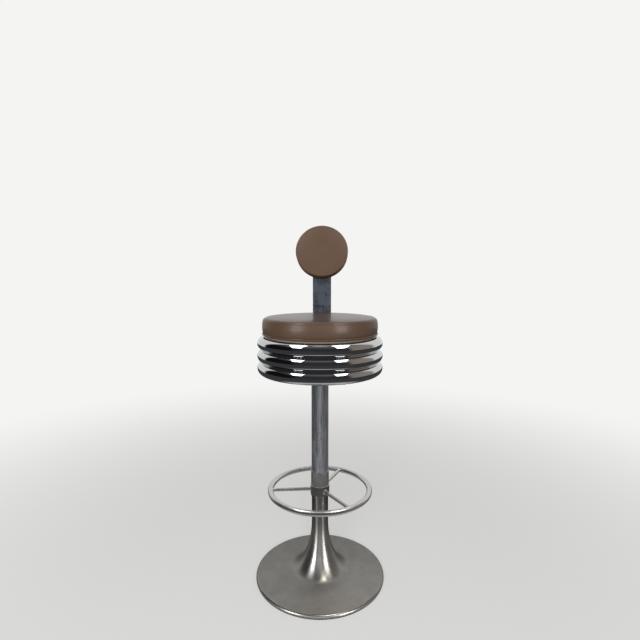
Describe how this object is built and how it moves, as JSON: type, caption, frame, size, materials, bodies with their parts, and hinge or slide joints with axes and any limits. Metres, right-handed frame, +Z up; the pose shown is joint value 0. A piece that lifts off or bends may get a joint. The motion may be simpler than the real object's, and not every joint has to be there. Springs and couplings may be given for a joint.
{
  "type": "bar stool",
  "caption": "Swivelling bar stool: round padded seat on a ribbed chrome drum, small round backrest on a flat bar, column with spoked foot ring, polished trumpet base.",
  "frame": {"origin": "centre of the floor ring's underside, on the swivel axis at floor level", "axes": "+Z up along the swivel axis, a sitter faces -Y, the back bar stands at +Y"},
  "size_m": [0.3849, 0.4133, 1.0657],
  "materials": {
    "black_pvc": "matt moulded",
    "polished_aluminium": "polished casting, clouded with age",
    "cast_iron": "sand cast, black lacquer",
    "zinc_steel": "zinc plated",
    "chrome": "bright chromium plate",
    "worn_chrome": "chromium plate, scratched and pitted",
    "nylon": "moulded",
    "black_steel": "black lacquer",
    "plywood": "sanded birch plywood",
    "foam": "moulded upholstery foam",
    "leatherette": "fine grained brown leatherette, satin"
  },
  "bodies": {
    "base": {"floor_ring": "black_pvc", "base_trumpet": "polished_aluminium", "ballast_disc": "cast_iron", "tie_rod": "zinc_steel", "tie_washer": "zinc_steel", "tie_nut": "zinc_steel", "column_tube": "worn_chrome", "column_plug": "zinc_steel", "foot_ring_hub": "chrome", "hub_grub_screws": "zinc_steel", "foot_ring": "chrome", "foot_ring_spokes": "chrome", "upper_bush": "nylon", "lower_bush": "nylon", "thrust_washer": "zinc_steel"},
    "seat": {"glide_washer": "nylon", "swivel_spindle": "zinc_steel", "spindle_circlip": "zinc_steel", "swivel_flange": "black_steel", "carrier_plate": "black_steel", "flange_bolts": "zinc_steel", "flange_nuts": "zinc_steel", "carrier_bolts": "zinc_steel", "carrier_nuts": "zinc_steel", "ribbed_drum": "chrome", "seat_board": "plywood", "board_screws": "zinc_steel", "seat_foam": "foam", "seat_cover": "leatherette", "back_bar": "worn_chrome", "backrest_back_panel": "leatherette", "backrest_board": "plywood", "backrest_foam": "foam", "backrest_cover": "leatherette", "backrest_tee_nuts": "zinc_steel", "backrest_bolts": "zinc_steel"}
  },
  "joints": [
    {"name": "seat_swivel", "type": "hinge", "parent": "base", "child": "seat", "pos_m": [0, 0, 0.6], "axis": [0, 0, 1], "continuous": true}
  ]
}
